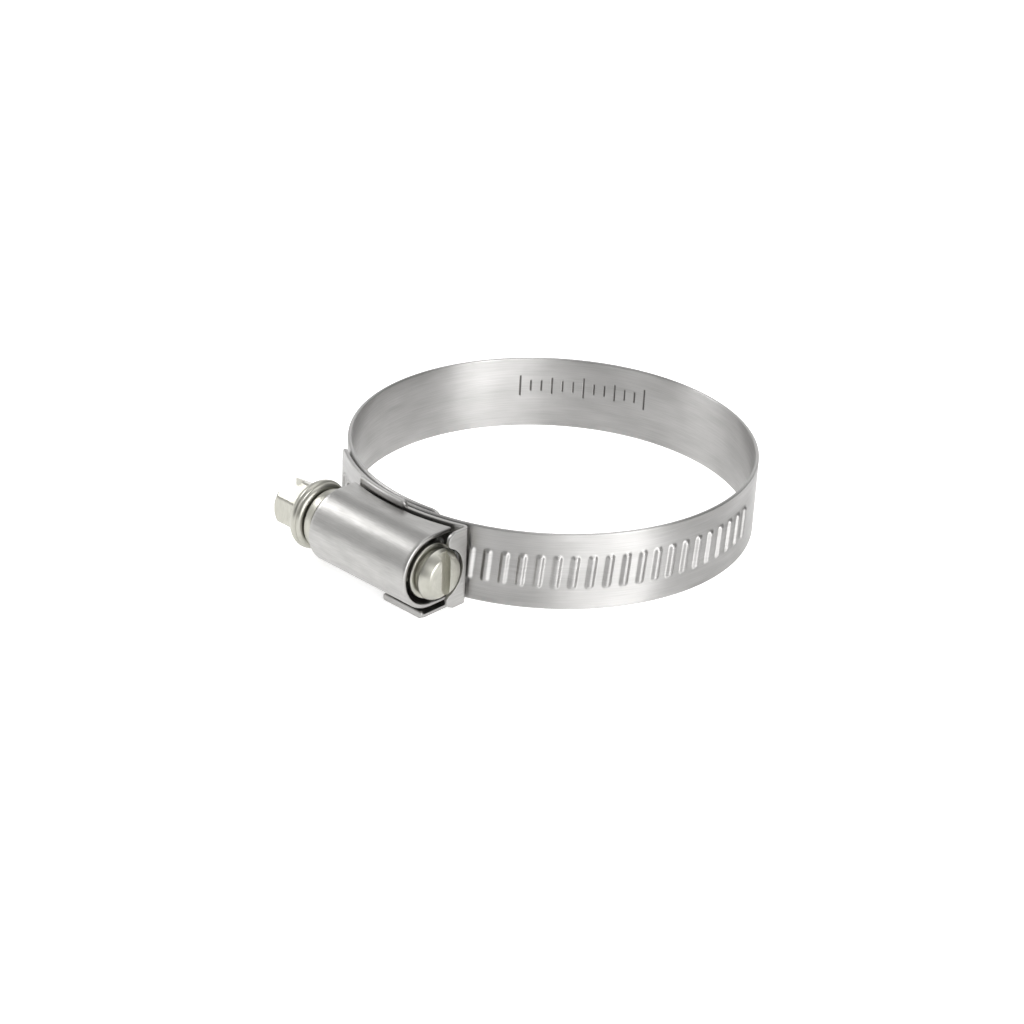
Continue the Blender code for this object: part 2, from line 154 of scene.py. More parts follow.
def fine_steps(low, high, pitch, marks=(), reach=0.0, fine=0.1):
    """Stations from low to high: pitch apart, and fine apart within reach of each mark."""
    stations = np.linspace(low, high, max(2, int(round((high - low) / pitch)) + 1))
    for mark in marks:
        near = np.arange(mark - reach, mark + reach + fine / 2, fine)
        stations = np.concatenate([stations, near])
    stations = np.sort(stations[(stations >= low) & (stations <= high)])
    # two stations that all but meet would make slivers, so the second is dropped
    keep = np.concatenate([[True], np.diff(stations) > fine * 0.4])
    stations = stations[keep]
    stations[-1] = high
    return stations


# %% [markdown]
# ## Materials
#
# Three finishes cover the clamp. Cold-rolled stainless strip carries fine scratches along its
# length from the rolls, so its gloss smears across the width. The barrel and the saddle are stamped
# from the same strip and tumbled, which leaves them softer. The screw is turned steel with a thin
# zinc plating, which is paler, warmer and more even.

# %% Material helpers


def linear(code):
    """Linear colour of an sRGB hex code: c / 12.92 below 0.04045, else ((c + 0.055) / 1.055)^2.4."""
    parts = np.array([int(code[i:i + 2], 16) for i in (1, 3, 5)]) / 255
    bent = np.where(parts <= 0.04045, parts / 12.92, ((parts + 0.055) / 1.055) ** 2.4)
    return (*bent.tolist(), 1.0)


def add(tree, kind, settings=None, inputs=None, stops=()):
    """Add a node, set its properties and set or link its inputs by name or number.

    stops are a ramp's grey levels, as (position, level) pairs in rising order.
    """
    node = tree.nodes.new(kind)
    for key, value in (settings or {}).items():
        setattr(node, key, value)
    for key, value in (inputs or {}).items():
        if isinstance(value, bpy.types.NodeSocket):
            tree.links.new(value, node.inputs[key])
        else:
            node.inputs[key].default_value = value
    if stops:
        elements = node.color_ramp.elements
        while len(elements) < len(stops):
            elements.new(0.5)
        for element, (place, level) in zip(elements, stops):
            element.position = place
            element.color = (level, level, level, 1.0)
    return node


print("sRGB #808080 in linear:", round(linear("#808080")[0], 3))


# %% [markdown]
# ### Brushed metal
#
# Rolls and belts leave fine parallel scratches in the metal. They could be modelled one by one or
# painted, but stretched noise is enough: it is drawn out along the strip's own length map, a few
# tenths of a millimetre across and many millimetres long. Real scratches are ten times finer than
# that and would not show, so they are drawn coarser. The same noise moves the roughness and a very
# small bump, so the streaks stay with the metal when it moves.

# %% Brushed metal


def brushed(name, light, dark, rough, grain_mm, length_mm, bump_um, cloud_mm,
            spread=0.0, etch=False):
    """A metal whose grain runs along the first direction of the strip map.

    Tone is 0.55 grain + 0.45 cloud and mixes the dark and light colours; the roughness falls as
    the tone rises. spread is how much more the gloss smears across the grain than along it, and
    etch says that the piece has etched marks.
    """
    made = bpy.data.materials.new(name)
    made.use_nodes = True
    tree = made.node_tree
    shader = tree.nodes["Principled BSDF"]
    place = add(tree, "ShaderNodeUVMap", {"uv_map": "strip"})
    # the map is in metres, so one over a length in metres is its pattern scale
    scale = (1 / (length_mm * MM), 1 / (grain_mm * MM), 1.0)
    stretch = add(tree, "ShaderNodeMapping", inputs={"Vector": place.outputs["UV"], "Scale": scale})
    grain = add(tree, "ShaderNodeTexNoise",
                inputs={"Vector": stretch.outputs["Vector"], "Scale": 1.0,
                        "Detail": 3.0, "Roughness": 0.6})
    cloud_scale = (1 / (cloud_mm * 3 * MM), 1 / (cloud_mm * MM), 1.0)
    wide = add(tree, "ShaderNodeMapping",
               inputs={"Vector": place.outputs["UV"], "Scale": cloud_scale})
    cloud = add(tree, "ShaderNodeTexNoise",
                inputs={"Vector": wide.outputs["Vector"], "Scale": 1.0, "Detail": 2.0})
    tone = add(tree, "ShaderNodeMath", {"operation": "MULTIPLY_ADD"},
               {0: grain.outputs["Fac"], 1: 0.55, 2: -0.02})
    tone = add(tree, "ShaderNodeMath", {"operation": "MULTIPLY_ADD"},
               {0: cloud.outputs["Fac"], 1: 0.45, 2: tone.outputs[0]})
    colour = add(tree, "ShaderNodeMix", {"data_type": "RGBA"},
                 {"Factor": tone.outputs[0], "A": linear(dark), "B": linear(light)})
    base = colour.outputs["Result"]
    roughness = add(tree, "ShaderNodeMapRange",
                    inputs={"Value": tone.outputs[0], "From Min": 0.25, "From Max": 0.75,
                            "To Min": rough * 1.18, "To Max": rough * 0.85})
    rough_out = roughness.outputs["Result"]
    if etch:
        # etched marks are matt and darker than the rolled face
        mark = add(tree, "ShaderNodeAttribute", {"attribute_name": "etched"})
        colour = add(tree, "ShaderNodeMix", {"data_type": "RGBA"},
                     {"Factor": mark.outputs["Fac"], "A": base, "B": linear("#72706e")})
        base = colour.outputs["Result"]
        lift = add(tree, "ShaderNodeMath", {"operation": "MULTIPLY_ADD"},
                   {0: mark.outputs["Fac"], 1: 0.3, 2: rough_out})
        rough_out = lift.outputs[0]
    bump = add(tree, "ShaderNodeBump", inputs={"Height": grain.outputs["Fac"], "Strength": 1.0,
                                               "Distance": bump_um * 1e-6})
    if spread:
        tangent = add(tree, "ShaderNodeTangent", {"direction_type": "UV_MAP", "uv_map": "strip"})
        tree.links.new(tangent.outputs["Tangent"], shader.inputs["Tangent"])
        shader.inputs["Anisotropic"].default_value = spread
        # a quarter turn lays the smear across the grain
        shader.inputs["Anisotropic Rotation"].default_value = 0.25
    tree.links.new(base, shader.inputs["Base Color"])
    tree.links.new(rough_out, shader.inputs["Roughness"])
    tree.links.new(bump.outputs["Normal"], shader.inputs["Normal"])
    shader.inputs["Metallic"].default_value = 1.0
    return made


# rolled strip: a satin gloss drawn out into upright streaks by the long scratches, neutral grey
STRIP = brushed("cold-rolled stainless strip, brushed lengthwise", "#cdcccb", "#999896",
                0.43, 0.16, 7.0, 1.5, 3.0, spread=0.92, etch=True)
# stamped sheet: the same steel, its scratches rubbed short, so the gloss is rounder and cloudy
STAMPED = brushed("stamped stainless sheet, tumbled satin", "#c6c5c3", "#8b8a88",
                  0.33, 0.20, 3.0, 3.0, 1.4, spread=0.2)
# plated screw: the zinc evens out the tool marks, so the gloss is soft, pale and faintly yellow
PLATED = brushed("turned steel, zinc plated", "#c5c4bc", "#95948a",
                 0.31, 0.25, 1.6, 3.0, 1.2)
print("materials:", len(bpy.data.materials))

# %% [markdown]
# ## The band
#
# The band is slit from thin strip, so its edges are slightly rounded, and half of it is pressed
# between toothed rolls into raised threads that the screw climbs along. Each thread is a short bar
# with rounded corners, leaning a few degrees because the screw's thread does. Bars could be separate
# solids laid on the strip, but then the inside would stay flat. Here the strip's own surface moves
# out by a smooth step of the distance from a bar's outline, and the inside follows, shallower.

# %% Threads of the band
THREAD_PITCH = 2.5
FIRST_THREAD = -0.6
THREADS_BEFORE = 7
THREADS_AFTER = 25
BAR_HALF_LENGTH = 2.75
BAR_HALF_WIDTH = 0.74
BAR_CORNER = 0.60
BAR_FLANK = 0.60
BAR_HEIGHT = 0.40
BAR_DENT = 0.22
LEAN = math.tan(math.radians(4.5))
mean_radius = INNER_RADIUS + RISE + BAND_SHEET / 2
numbers = np.arange(-THREADS_BEFORE, THREADS_AFTER)
thread_turns = 2 * math.pi - (FIRST_THREAD + THREAD_PITCH * numbers) / mean_radius
print("threads:", len(thread_turns), "from", np.degrees(thread_turns.min()).round(1), "degrees")


def smooth(value):
    """Smooth step: 3 x^2 - 2 x^3 of the value held between 0 and 1."""
    held = np.clip(value, 0.0, 1.0)
    return held * held * (3.0 - 2.0 * held)


def bars(turn, height):
    """Share of a thread bar's full height at each turn and height on the band.

    d is the distance inside a rounded rectangle round the nearest bar, and the share is
    smooth(d / flank).
    """
    rise = height - BAND_WIDTH / 2
    along = (turn[..., None] - thread_turns) * mean_radius + LEAN * rise[..., None]
    nearest = np.abs(along).min(-1)
    over_x = nearest - (BAR_HALF_WIDTH - BAR_CORNER)
    over_y = np.abs(rise) - (BAR_HALF_LENGTH - BAR_CORNER)
    outside = np.hypot(np.maximum(over_x, 0), np.maximum(over_y, 0))
    inside = BAR_CORNER - outside - np.minimum(np.maximum(over_x, over_y), 0)
    return smooth(inside / BAR_FLANK)


# %% Edges and tail of the band
EDGE_ROUND = 0.20
TAIL_CORNER = 1.8
TAIL_REACH = 6.2


def section_loop(rows_out, rows_in):
    """Height and offset in mm round the strip's section: offset 0 is the inside face.

    An edge is two quarter circles: e sin a past the flat in height, e (1 - cos a) in offset.
    """
    turn = np.linspace(0, math.pi / 2, 4)
    outer = np.linspace(EDGE_ROUND, BAND_WIDTH - EDGE_ROUND, rows_out)
    inner = np.linspace(BAND_WIDTH - EDGE_ROUND, EDGE_ROUND, rows_in)
    bulge = EDGE_ROUND * np.sin(turn)
    sink = EDGE_ROUND * (1 - np.cos(turn))
    # going up the outside, over the top edge, down the inside and under the bottom edge
    heights = [outer, BAND_WIDTH - EDGE_ROUND + bulge[1:], BAND_WIDTH - EDGE_ROUND + bulge[::-1][:-1],
               inner, EDGE_ROUND - bulge[1:], EDGE_ROUND - bulge[::-1][:-1]]
    offsets = [np.full(rows_out, BAND_SHEET), BAND_SHEET - sink[1:], sink[::-1][:-1],
               np.zeros(rows_in), sink[1:], BAND_SHEET - sink[::-1][:-1]]
    return np.concatenate(heights), np.concatenate(offsets)


def tail_trim(distance):
    """Cut into the width near the strip's end: c - sqrt(c^2 - (c - distance)^2) inside corner c."""
    rest = np.clip(TAIL_CORNER - distance, 0.0, TAIL_CORNER)
    return TAIL_CORNER - np.sqrt(TAIL_CORNER ** 2 - rest ** 2)


print("strip section:", len(section_loop(9, 9)[0]), "points at its plainest")

# %% [markdown]
# ### The ticks
#
# A row of plain ticks is etched on the inside face opposite the screw, where such clamps carry their
# size. They could be painted, but an etch has a depth, so the face sinks where a tick's outline is
# near and the same share tells the material where it is matt and dark.

# %% Etched ticks
TICK_NUMBERS = np.arange(13)
TICK_TURNS = np.radians(np.linspace(128.0, 167.0, len(TICK_NUMBERS)))
# half heights: every sixth tick is tall, every third is middling and the rest are short
TICK_TALL = np.where(TICK_NUMBERS % 6 == 0, 1.75, np.where(TICK_NUMBERS % 3 == 0, 1.4, 0.9))
TICK_HALF = 0.13
TICK_DEPTH = 0.06
TICK_MIDDLE = 7.2
TICK_FADE = 0.10


def ticks(turn, height):
    """Share of a tick's depth: 1 inside the nearest tick's outline, smoothly 0 outside it.

    The share is 1 - smooth(d / fade + 1/2), d the larger distance past its side or its end.
    """
    along = np.abs(turn[..., None] - TICK_TURNS) * INNER_RADIUS
    near = along.argmin(-1)
    across = along.min(-1) - TICK_HALF
    up = np.abs(height - TICK_MIDDLE) - TICK_TALL[near]
    return 1.0 - smooth((np.maximum(across, up) + TICK_FADE / 2) / TICK_FADE)


print("ticks:", len(TICK_TURNS), "over", round(np.ptp(TICK_TURNS) * INNER_RADIUS, 1), "mm")

# %% [markdown]
# ### The strip in lengths
#
# The real strip is one piece that bends when it is drawn. It could be one mesh blended over all the
# links, but rigid lengths keep their threads true, so it is cut into short curved lengths that each
# ride one link and meet face to face at rest. A very short last column at each end keeps the shading
# of two neighbours the same where they meet.

# %% Build the band
PLAIN_STEP = 0.35
THREAD_STEP = 0.12
PLAIN_ROWS = 9
FINE_ROWS = 73
DENT_ROWS = 37
SEAM = 0.01
# the inside face has its own part of the strip map, this far from the outside's
BAND_MAP_GAP = 20.0


def band_piece(name, start, stop, threaded, etched, tail=0):
    """One length of strip from turn start to stop; tail is -1 or 1 where an end is rounded off.

    Each point is the spiral at its turn, pushed out by its offset, its bar and its tick.
    """
    pitch = THREAD_STEP if threaded else PLAIN_STEP
    length = (stop - start) * INNER_RADIUS
    along = np.linspace(0, length, int(length / pitch))
    if etched:
        along = fine_steps(0, length, PLAIN_STEP, (TICK_TURNS - start) * INNER_RADIUS, 0.4, 0.05)
    along = np.unique(np.concatenate([along, [SEAM, length - SEAM]]))
    if tail:
        curve = TAIL_CORNER * (1 - np.cos(np.linspace(0, math.pi / 2, 14)))
        along = np.unique(np.concatenate([along, curve if tail < 0 else length - curve]))
    turn = start + along / INNER_RADIUS
    rows_out = FINE_ROWS if threaded else PLAIN_ROWS
    rows_in = FINE_ROWS if etched else DENT_ROWS if threaded else PLAIN_ROWS
    height, offset = section_loop(rows_out, rows_in)
    turns, heights = np.meshgrid(turn, height, indexing="ij")
    offsets = np.broadcast_to(offset, turns.shape).copy()
    marks = np.zeros(turns.shape)
    if threaded:
        share = bars(turns, heights)
        offsets += share * np.where(offset > BAND_SHEET / 2, BAR_HEIGHT, BAR_DENT)
    if etched:
        marks = ticks(turns, heights) * (offset < 0.01)
        offsets += marks * TICK_DEPTH
    if tail:
        gone = tail_trim(along if tail < 0 else length - along)[:, None]
        heights = gone + heights * (BAND_WIDTH - 2 * gone) / BAND_WIDTH
    x, y = spiral(turns, offsets)
    points = np.stack([x, y, heights], -1)
    inside = BAND_MAP_GAP * (offset < BAND_SHEET / 2)
    uv = np.stack([turns * mean_radius, heights + inside], -1).reshape(-1, 2)
    faces = capped(len(turn), len(height))
    return make_object(name, points, faces, STRIP, uv, marks)


first_edge = LINK / 2
piece = band_piece("band_fixed_strip", -math.asin(TAIL_REACH / INNER_RADIUS), first_edge,
                   False, False, tail=-1)
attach(piece, "housing")
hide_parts("band_fixed_end")
band_pieces = [piece]
# a bar or a tick reaches a little past its middle line, in radians
REACH = 0.05
threads_from = thread_turns.min() - REACH
for number, name in enumerate(link_names):
    start = first_edge + number * LINK
    stop = start + LINK
    threaded = stop > threads_from
    etched = stop > TICK_TURNS[0] - REACH and start < TICK_TURNS[-1] + REACH
    tail = 1 if number == len(link_names) - 1 else 0
    piece = band_piece(f"band_strip_{number + 1:02d}", start, stop, threaded, etched, tail)
    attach(piece, f"link_{number + 1:02d}")
    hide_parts(name)
    band_pieces.append(piece)
print("band:", sum(len(piece.data.polygons) for piece in band_pieces), "faces")

# %% [markdown]
# ## The barrel
#
# The barrel is one blank of sheet rolled over the screw, with two short legs whose feet follow the
# curve of the band. Its section is half a circle between two straight legs, and the sheet's rims are
# rounded by the stamping. A tube cut in half would give the arch, but not the shaped feet, so here a
# rounded rectangle, long in X and as thick as the sheet, is carried round that section.

# %% Build the barrel
BARREL_SHEET = 0.75
BARREL_RADIUS = (barrel_high[2] - barrel_low[2]) / 2
BARREL_FOOT = 33.50
RIM_ROUND = 0.24
# places on the strip map: a leg's length, where the second leg starts and the inside face's shift
LEG_MAP = 2.4
SECOND_LEG_MAP = 20.5
BARREL_MAP_GAP = 30.0


def rounded_slab(low, high, thick, round_mm, stations):
    """Places and offsets round a slab's section, a rectangle with corners of radius r.

    A corner is r sin a past the flat in place and r (1 - cos a) in offset, a from 0 to 90 degrees.
    """
    turn = np.linspace(0, math.pi / 2, 5)
    along = np.linspace(low + round_mm, high - round_mm, stations)
    bulge = round_mm * np.sin(turn)
    sink = round_mm * (1 - np.cos(turn))
    places = [along, high - round_mm + bulge[1:], high - round_mm + bulge[::-1],
              along[::-1][1:], low + round_mm - bulge[1:], low + round_mm - bulge[::-1][:-1]]
    offsets = [np.full(stations, thick), thick - sink[1:], sink[::-1],
               np.zeros(stations - 1), sink[1:], thick - sink[::-1][:-1]]
    return np.concatenate(places), np.concatenate(offsets)


def curve_y(radius, x):
    """Y on a circle about the ring's axis, on the housing's side: -sqrt(radius^2 - x^2)."""
    return -np.sqrt(radius ** 2 - x ** 2)


def barrel_points():
    """The barrel's grid: legs and half circle one way, round the sheet's section the other.

    On the arch Y = screw - radius sin a and Z = screw + radius cos a; a leg runs straight from the
    foot's curve to the arch at Z = screw +- radius.
    """
    inner = BARREL_RADIUS - BARREL_SHEET
    x, off = rounded_slab(barrel_low[0], barrel_high[0], BARREL_SHEET, RIM_ROUND, 41)
    leg = np.linspace(0, 1, 9)[:-1]
    sweep = np.linspace(0, math.pi, 61)
    radius = inner + off
    foot = curve_y(BARREL_FOOT, x)
    rows = []
    for side, shares in ((1, leg), (-1, leg[::-1])):
        y = foot + (SCREW_Y - foot) * shares[:, None]
        z = SCREW_Z + side * radius + 0 * shares[:, None]
        rows.append(np.stack([x + 0 * y, y, z], -1))
    y = SCREW_Y - radius * np.sin(sweep)[:, None]
    z = SCREW_Z + radius * np.cos(sweep)[:, None]
    arch = np.stack([x + 0 * y, y, z], -1)
    points = np.concatenate([rows[0], arch, rows[1]])
    path = np.concatenate([leg * LEG_MAP, LEG_MAP + sweep * BARREL_RADIUS,
                           SECOND_LEG_MAP + leg * LEG_MAP])
    inside = BARREL_MAP_GAP * (off < BARREL_SHEET / 2)
    uv = np.stack(np.broadcast_arrays(x[None, :], path[:, None] + inside), -1)
    return points, uv


points, uv = barrel_points()
# this grid runs the other way round its section, so its faces are turned to point outwards
faces = [face[::-1] for face in capped(*points.shape[:2])]
barrel = make_object("rolled_barrel", points, faces, STAMPED, uv.reshape(-1, 2))
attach(barrel, "housing")
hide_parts("barrel_housing")
print("barrel:", len(barrel.data.polygons), "faces")

# %% [markdown]
# ## The saddle
#
# The saddle is the sheet between the barrel and the band. It follows the ring, rises past the band's
# upper edge to a lip, turns out in a flange underneath and folds outwards into an end wall with two
# horns round the screw's tip. It could be bent from a flat blank, but one grid gives the sheet and
# its wall: the path along X runs round the ring, through the fold and out along the wall, and the
# other way goes from the bottom edge to the top. Faces over the threaded opening are left out.

# %% The saddle's middle surface
SADDLE_SHEET = 0.55
SADDLE_MIDDLE = 32.30 + SADDLE_SHEET / 2
RAIL = 2.2
LIP_RISE = 0.85
TOP_LIP_END = 1.7
FLANGE_SPAN = (2.6, 10.4)
FLANGE_EDGE = -37.7
FLANGE_LEVEL = -0.55
FLANGE_BEND = 0.55
FLANGE_CORNER = 0.7
WALL_X = 11.9
FOLD = 0.75
HORN_EDGE = -34.4
HORN_CORNER = 1.3
NOTCH = 4.1
OPEN_FROM = -7.1


def lip_height(x, start, stop):
    """Lip's share of its full height, sqrt(1 - (1 - d)^2): d is the distance in over the rise."""
    inside = np.clip(np.minimum(x - start, stop - x) / LIP_RISE, 0, 1)
    return np.sqrt(np.clip(1 - (1 - inside) ** 2, 0, 1))


def wall_reach(z):
    """Y of the wall's free edge at each height: horns with rounded corners and a round notch."""
    inset = np.clip(HORN_CORNER - np.minimum(z, BAND_WIDTH - z), 0, HORN_CORNER)
    horn = HORN_EDGE + HORN_CORNER - np.sqrt(HORN_CORNER ** 2 - inset ** 2)
    across = NOTCH ** 2 - (z - SCREW_Z) ** 2
    notch = SCREW_Y + np.sqrt(np.maximum(across, 0.0))
    return np.where(across > 0, np.maximum(horn, notch), horn)


def saddle_points():
    """Grid of the saddle's middle surface and, for each cell, whether there is sheet in it.

    Y is -sqrt(r^2 - x^2) on the ring, then short chords of a circle through the fold, then a
    straight line to the wall's free edge.
    """
    fold_from = WALL_X - FOLD
    edges = [OPEN_FROM, TOP_LIP_END, FLANGE_SPAN[0], FLANGE_SPAN[1]]
    x = fine_steps(saddle_low[0], fold_from, 0.5, [saddle_low[0], *edges], 0.9, 0.09)
    open_from = int(np.abs(x - OPEN_FROM).argmin())
    y_arc = curve_y(SADDLE_MIDDLE, x)
    # heights up the sheet: the lower rail, the width of the opening and the upper rail
    rail_low = np.linspace(0, RAIL, 6)
    window = np.linspace(RAIL, BAND_WIDTH - RAIL, 31)[1:-1]
    rail_high = np.linspace(BAND_WIDTH - RAIL, BAND_WIDTH, 6)
    level = np.concatenate([rail_low, window, rail_high])
    top = LIP_RISE * lip_height(x, saddle_low[0] - 0.05, TOP_LIP_END)
    upper = np.clip((level - (BAND_WIDTH - RAIL)) / RAIL, 0, 1)
    z = level[None, :] + top[:, None] * upper
    arc = np.stack([x[:, None] + 0 * z, y_arc[:, None] + 0 * z, z], -1)
    # the fold: a quarter turn from the ring's direction to straight out along -Y
    heading = np.array([-y_arc[-1], fold_from]) / SADDLE_MIDDLE
    start_angle = math.atan2(heading[1], heading[0])
    angles = np.linspace(start_angle, -math.pi / 2, 12)
    steps = np.diff(angles)
    middle = (angles[:-1] + angles[1:]) / 2
    radius = (WALL_X - fold_from) / (math.sin(start_angle) + 1.0)
    travel = radius * np.abs(steps)
    fold_x = fold_from + np.cumsum(travel * np.cos(middle))
    fold_y = y_arc[-1] + np.cumsum(travel * np.sin(middle))
    z_row = level[None, :] + 0 * fold_x[:, None]
    fold = np.stack([fold_x[:, None] + 0 * z_row, fold_y[:, None] + 0 * z_row, z_row], -1)
    # the wall: straight out from the fold to its free edge
    out = np.linspace(0, 1, 9)[1:]
    reach = wall_reach(level)
    y = fold_y[-1] + (reach[None, :] - fold_y[-1]) * out[:, None]
    wall = np.stack([fold_x[-1] + 0 * y, y, level[None, :] + 0 * y], -1)
    points = np.concatenate([arc, fold, wall])
    filled = np.ones((points.shape[0] - 1, len(level) - 1), bool)
    first = len(rail_low) - 1
    last = first + len(window) + 1
    # the opening runs on nearly half way round the fold
    filled[open_from:len(x) + 4, first:last] = False
    path = np.concatenate([[0.0], np.cumsum(np.hypot(*np.diff(points[:, 0, :2], axis=0).T))])
    uv = np.stack(np.broadcast_arrays(path[:, None], level[None, :]), -1)
    return points, filled, uv


# %% [markdown]
# ### Sheet from a grid
#
# A grid has no thickness yet. Two grids could be joined round their rims, but a Solidify modifier
# does the same for any outline, opening and all, and a Bevel rounds the stamped edges after it.

# %% Give a grid its thickness


def drop_loose(made, used):
    """Rebuild a mesh of quads without the points that no face uses; numbers counts those kept."""
    mesh = made.data
    numbers = np.cumsum(used) - 1
    points = np.zeros(len(mesh.vertices) * 3)
    mesh.vertices.foreach_get("co", points)
    corners = np.zeros(len(mesh.loops), int)
    mesh.loops.foreach_get("vertex_index", corners)
    uv = np.zeros(len(mesh.loops) * 2)
    mesh.uv_layers["strip"].data.foreach_get("uv", uv)
    material = mesh.materials[0]
    fresh = bpy.data.meshes.new(made.name)
    quads = numbers[corners].reshape(-1, 4)
    fresh.from_pydata(points.reshape(-1, 3)[used].tolist(), [], quads.tolist())
    layer = fresh.uv_layers.new(name="strip")
    layer.data.foreach_set("uv", uv)
    fresh.shade_smooth()
    fresh.set_sharp_from_angle(angle=SHARP)
    fresh.materials.append(material)
    made.data = fresh


EDGE_BEVEL = 0.16


def sheet_object(name, points, filled, uv, thick, material):
    """An open grid with faces only where it is filled, given thickness and rounded edges."""
    columns, rows = points.shape[:2]
    here = np.arange((columns - 1) * rows).reshape(columns - 1, rows)[:, :-1]
    quads = np.stack([here, here + rows, here + rows + 1, here + 1], -1)[filled]
    made = make_object(name, points, quads, material, uv.reshape(-1, 2))
    used = np.zeros(columns * rows, bool)
    used[quads.ravel()] = True
    if not used.all():
        drop_loose(made, used)
    solid = made.modifiers.new("sheet", "SOLIDIFY")
    solid.thickness = thick * MM
    solid.offset = 0.0
    soft = made.modifiers.new("stamped edge", "BEVEL")
    soft.width = EDGE_BEVEL * MM
    soft.segments = 3
    soft.limit_method = "ANGLE"
    soft.angle_limit = math.radians(50)
    return made


# %% Build the saddle
points, filled, uv = saddle_points()
saddle = sheet_object("saddle_sheet", points, filled, uv, SADDLE_SHEET, STAMPED)
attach(saddle, "housing")
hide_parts("saddle_bridge")
print("saddle:", len(saddle.data.polygons), "faces before thickness")

# %% [markdown]
# ### The lip
#
# The saddle's upper edge is rolled over to a thick, smooth lip that keeps the band in. Folding the
# grid back on itself would pinch at the lip's ends, so the lip is a bar of its own laid along the
# edge, with a squarish oval for a section and round ends.

# %% The rolled lip on the saddle's upper edge
LIP_CURVE = 32.74
LIP_BELOW_TOP = 0.60
LIP_HALF_THICK = 0.42
LIP_HALF_TALL = 0.62


def rounded_bar(start, stop, side, level, half_thick, half_tall):
    """A rounded bar along X: its section is a squarish oval, c^(1/2) by s^(1/2).

    side(x, across) gives Y at each place for a distance across the bar. The section shrinks to
    nothing over the last half height at each end, as a half circle does.
    """
    # the first station keeps a little width, so the flat cap there is not a point
    ease = half_tall * (1 - np.cos(np.linspace(0.03, math.pi / 2, 10)))
    x = np.unique(np.concatenate([start + ease, np.linspace(start + 1, stop - 1, 30), stop - ease]))
    rest = np.clip(1 - np.minimum(x - start, stop - x) / half_tall, 0, 1)
    share = np.sqrt(1 - rest ** 2)[:, None]
    angle = np.linspace(0, 2 * math.pi, 28, endpoint=False)
    across = np.sign(np.cos(angle)) * np.abs(np.cos(angle)) ** 0.5 * half_thick * share
    along = np.sign(np.sin(angle)) * np.abs(np.sin(angle)) ** 0.5 * half_tall * share
    y = side(x[:, None], across)
    points = np.stack([x[:, None] + 0 * y, y, level + along], -1)
    uv = np.stack(np.broadcast_arrays(x[:, None], angle[None, :]), -1)
    faces = [face[::-1] for face in capped(len(x), len(angle))]
    return points, faces, uv.reshape(-1, 2)


def lip_side(x, across):
    """Y of the lip: on the ring's curve, `across` further out."""
    return curve_y(LIP_CURVE + across, x)


points, faces, uv = rounded_bar(saddle_low[0], TOP_LIP_END, lip_side,
                                saddle_high[2] - CENTRE[2] - LIP_BELOW_TOP,
                                LIP_HALF_THICK, LIP_HALF_TALL)
lip = make_object("saddle_lip", points, faces, STAMPED, uv)
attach(lip, "housing")
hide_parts("saddle_bridge")
print("lip:", len(lip.data.polygons), "faces")

# %% [markdown]
# ### The flange
#
# Below the barrel the saddle's lower edge is turned out into a flat flange with a rolled front. The
# bend is a quarter circle and the rest is straight, so a small grid of its own follows them, and the
# same rounded bar as the lip's finishes the front.

# %% The flange turned out under the barrel
FLANGE_SHEET = 0.5
ROLL_LEVEL = -0.40
ROLL_HALF_THICK = 0.36
ROLL_HALF_TALL = 0.55
ROLL_INSET = 0.3
ROLL_PAST_END = 0.2


def flange_points():
    """Grid of the flange: round a quarter circle b from the saddle's edge and straight out.

    On the bend Y = root - b (1 - cos a) and Z = level + b (1 - sin a).
    """
    corner = FLANGE_CORNER * (1 - np.cos(np.linspace(0, math.pi / 2, 8)))
    low, high = FLANGE_SPAN
    x = np.unique(np.concatenate([low + corner, np.linspace(low + 1, high - 1, 15), high - corner]))
    inside = np.clip(FLANGE_CORNER - np.minimum(x - low, high - x), 0, FLANGE_CORNER)
    edge = FLANGE_EDGE + FLANGE_CORNER - np.sqrt(FLANGE_CORNER ** 2 - inside ** 2)
    root = curve_y(SADDLE_MIDDLE, x)
    turn = np.linspace(0, math.pi / 2, 7)
    bend_y = root[:, None] - FLANGE_BEND * (1 - np.cos(turn))
    bend_z = FLANGE_LEVEL + FLANGE_BEND * (1 - np.sin(turn)) + 0 * bend_y
    share = np.linspace(0, 1, 7)[1:]
    flat_y = bend_y[:, -1:] + (edge[:, None] - bend_y[:, -1:]) * share
    flat_z = FLANGE_LEVEL + 0 * flat_y
    y = np.concatenate([bend_y, flat_y], 1)
    z = np.concatenate([bend_z, flat_z], 1)
    points = np.stack([x[:, None] + 0 * y, y, z], -1)
    uv = np.stack([points[..., 0], points[..., 1] + points[..., 2]], -1)
    return points, uv


points, uv = flange_points()
filled = np.ones((points.shape[0] - 1, points.shape[1] - 1), bool)
flange = sheet_object("saddle_flange", points, filled, uv, FLANGE_SHEET, STAMPED)


def roll_side(x, across):
    """Y of the flange's rolled front: straight, its middle ROLL_INSET in from the edge."""
    return FLANGE_EDGE + ROLL_INSET - across


points, faces, uv = rounded_bar(FLANGE_SPAN[0] - ROLL_PAST_END, FLANGE_SPAN[1], roll_side,
                                ROLL_LEVEL, ROLL_HALF_THICK, ROLL_HALF_TALL)
edge = make_object("saddle_flange_edge", points, faces, STAMPED, uv)
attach(edge, "housing")
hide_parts("saddle_bridge")
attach(flange, "housing")
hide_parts("saddle_bridge")
print("flange:", len(flange.data.polygons) + len(edge.data.polygons), "faces")

# %% [markdown]
# ## The screw
#
# The screw is turned from bar on a lathe, so nearly all of it is a radius that depends only on the
# place along X: collar, neck, stop ring and domed tip. The head is the same bar milled to a hexagon,
# and the worm is a radius that also turns with the angle. A spun curve could not give those two, but
# one formula r(x, angle) gives the whole surface, and the slots are cut from it afterwards.

